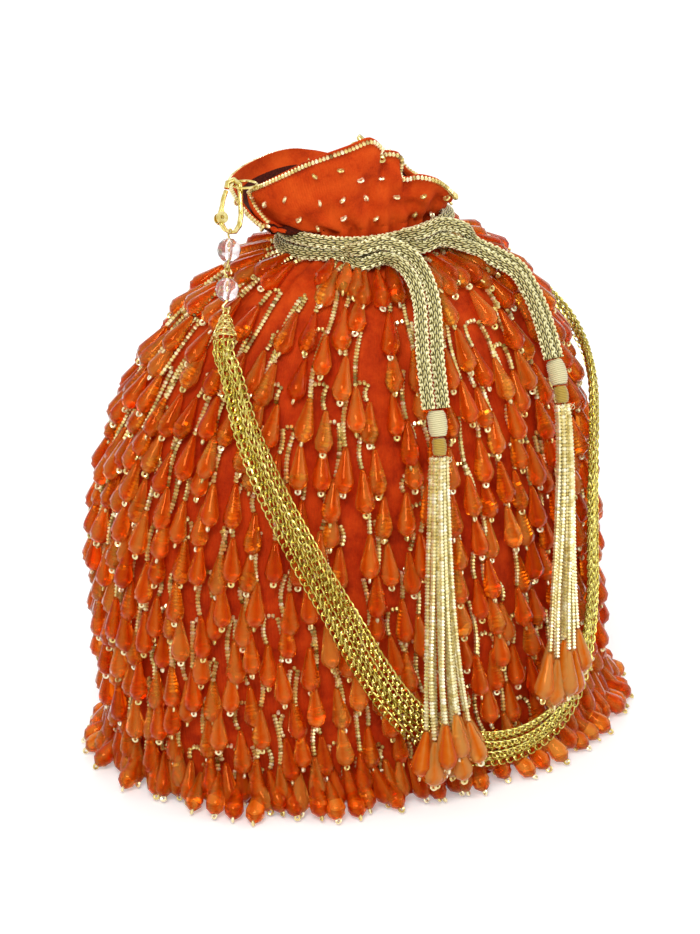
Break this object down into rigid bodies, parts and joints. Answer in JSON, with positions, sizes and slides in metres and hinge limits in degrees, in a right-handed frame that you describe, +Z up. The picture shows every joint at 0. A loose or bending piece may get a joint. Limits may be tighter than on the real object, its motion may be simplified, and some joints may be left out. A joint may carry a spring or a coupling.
{
  "type": "potli bag",
  "caption": "Small lined drawstring pouch of velvet, hung all over with teardrop beads, with a chain strap on clasps and cord tassels.",
  "frame": {"origin": "middle of the flat base, on the surface it stands on", "axes": "+Z up through the neck, X along the bag's long side, -Y towards the front with the strap"},
  "size_m": [0.1985, 0.1574, 0.2273],
  "materials": {
    "velvet": "orange-red velvet hung with faceted orange teardrop beads on gold seed-bead strings",
    "lining": "dark maroon lining cloth",
    "board": "stiff base board",
    "gold_beads": "silver-lined gold glass seed beads",
    "cord": "knitted pale gold metallic cord",
    "cream_thread": "wound cream thread",
    "mustard_thread": "wound mustard thread",
    "orange_beads": "clear orange faceted teardrop beads",
    "gold_metal": "yellow gold-plated metal",
    "crystal": "clear faceted crystal with a pink tint"
  },
  "bodies": {
    "bag": {"outer_bag": "velvet", "lining": "lining", "base_board": "board", "rim_beading": "gold_beads", "drawstring_loop_lower": "cord", "drawstring_loop_upper": "cord", "tail_a_left": "cord", "tail_a_right": "cord", "cream_wrap_a": "cream_thread", "mustard_wrap_a": "mustard_thread", "tassel_strands_a": "gold_beads", "tassel_drops_a": "orange_beads", "tail_b_left": "cord", "tail_b_right": "cord", "cream_wrap_b": "cream_thread", "mustard_wrap_b": "mustard_thread", "tassel_strands_b": "gold_beads", "tassel_drops_b": "orange_beads", "chain_1": "gold_metal", "chain_2": "gold_metal", "chain_3": "gold_metal", "chain_4": "gold_metal", "chain_5": "gold_metal", "chain_6": "gold_metal", "chain_7": "gold_metal", "sewn_ring_left": "gold_metal", "clasp_body_left": "gold_metal", "clasp_pin_left": "gold_metal", "eye_pin_left_1": "gold_metal", "crystal_left_1": "crystal", "eye_pin_left_2": "gold_metal", "crystal_left_2": "crystal", "cone_cap_left": "gold_metal", "sewn_ring_right": "gold_metal", "clasp_body_right": "gold_metal", "clasp_pin_right": "gold_metal", "eye_pin_right_1": "gold_metal", "crystal_right_1": "crystal", "eye_pin_right_2": "gold_metal", "crystal_right_2": "crystal", "cone_cap_right": "gold_metal"},
    "gate_left": {"clasp_gate_left": "gold_metal"},
    "gate_right": {"clasp_gate_right": "gold_metal"}
  },
  "joints": [
    {"name": "gate_left_hinge", "type": "hinge", "parent": "bag", "child": "gate_left", "pos_m": [-0.05738, -0.00436, 0.20037], "axis": [0.0148, 0.8475, -0.5305], "range_deg": [0, 18], "stiffness_Nm_per_rad": 0.01, "springref_deg": -17.19},
    {"name": "gate_right_hinge", "type": "hinge", "parent": "bag", "child": "gate_right", "pos_m": [0.02437, 0.03466, 0.19995], "axis": [0.7185, -0.382, 0.5812], "range_deg": [0, 18], "stiffness_Nm_per_rad": 0.01, "springref_deg": -17.19}
  ]
}
